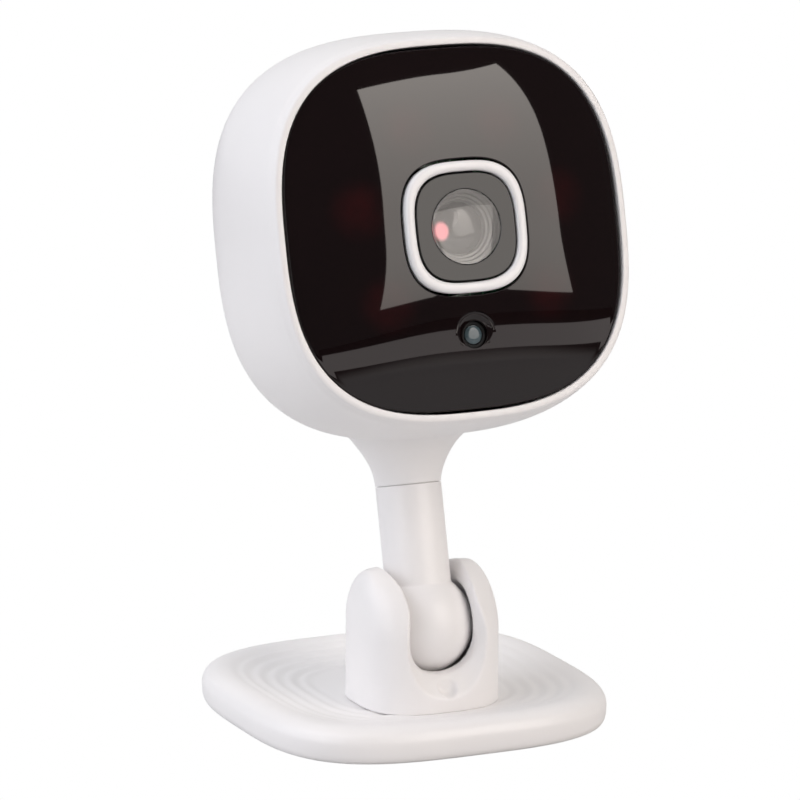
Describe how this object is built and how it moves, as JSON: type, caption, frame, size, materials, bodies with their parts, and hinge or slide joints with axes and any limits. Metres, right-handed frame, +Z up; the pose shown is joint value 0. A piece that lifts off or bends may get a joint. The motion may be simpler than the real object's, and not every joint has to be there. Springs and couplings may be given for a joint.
{
  "type": "security camera",
  "caption": "Indoor security camera: rounded-square head with black infrared front, swivelling on a stem that tilts in a bracket on a flat foot.",
  "frame": {"origin": "centre of the foot's resting face, on the surface that the camera stands on", "axes": "+Z up; -Y is the way the lens looks; +X is to the lens's right as seen by someone facing the front of the camera; the tilt axis lies along X"},
  "size_m": [0.0576, 0.0532, 0.1007],
  "materials": {
    "white_abs": "moulded ABS, fine satin",
    "white_trim": "moulded ABS, polished",
    "ir_black_panel": "infrared-passing acrylic, polished, near black with a red-brown cast",
    "dark_plastic": "moulded, matt black",
    "grey_mask": "printed dark grey, satin",
    "clear_glass": "clear, coated",
    "filter_glass": "infrared-cut coating, pale cyan",
    "steel": "zinc plated, fine",
    "brass": "turned",
    "aluminium": "plain, stamped",
    "board_green": "solder mask on glass-fibre board",
    "grey_rubber": "moulded silicone, matt",
    "black_rubber": "moulded, matt",
    "led_resin": "clear epoxy with a dark red cast"
  },
  "bodies": {
    "root": {"base_plate": "white_abs", "foot_pad": "grey_rubber", "ballast_plate": "steel", "hinge_bracket": "white_abs", "bracket_screw_left": "steel", "bracket_screw_right": "steel", "hinge_bolt": "steel", "hinge_insert": "brass"},
    "arm": {"stem": "white_abs", "wave_washer_left": "steel", "wave_washer_right": "steel", "swivel_washer": "steel", "swivel_screw": "steel", "friction_ring": "black_rubber"},
    "head": {"antenna": "board_green", "board_screw_1": "steel", "board_screw_2": "steel", "board_screw_3": "steel", "board_screw_4": "steel", "card_socket": "steel", "filter_actuator": "dark_plastic", "front_frame": "dark_plastic", "front_lens": "clear_glass", "front_panel": "ir_black_panel", "heat_spreader": "aluminium", "housing": "white_abs", "image_sensor": "dark_plastic", "ir_led_1": "led_resin", "ir_led_2": "led_resin", "ir_led_3": "led_resin", "ir_led_4": "led_resin", "ir_led_5": "led_resin", "ir_led_6": "led_resin", "led_board": "board_green", "lens_baffle": "black_rubber", "lens_barrel": "dark_plastic", "lens_holder": "dark_plastic", "lens_mask": "grey_mask", "lens_trim_ring": "white_trim", "lens_window": "clear_glass", "light_sensor": "led_resin", "main_board": "board_green", "microphone": "aluminium", "processor": "dark_plastic", "reset_switch": "dark_plastic", "sensor_window": "clear_glass", "speaker": "dark_plastic", "usb_socket": "steel", "wifi_module": "steel"},
    "reset_button": {"reset_button": "white_abs"},
    "filter_slide": {"filter_slide": "dark_plastic", "ir_cut_glass": "filter_glass", "clear_filter_glass": "clear_glass"}
  },
  "joints": [
    {"name": "tilt", "type": "hinge", "parent": "root", "child": "arm", "pos_m": [0, -0.0064, 0.015], "axis": [1, 0, 0], "range_deg": [-45, 60]},
    {"name": "pan", "type": "hinge", "parent": "arm", "child": "head", "pos_m": [0, -0.0064, 0.015], "axis": [0, 0.2504, 0.9681], "continuous": true},
    {"name": "reset_press", "type": "slide", "parent": "head", "child": "reset_button", "axis": [0, -0.9681, 0.2504], "range_m": [0, 0.0004], "stiffness_N_per_m": 800, "springref_m": -0.0005},
    {"name": "filter_shift", "type": "slide", "parent": "head", "child": "filter_slide", "axis": [1, 0, 0], "range_m": [-0.0058, 0]}
  ]
}
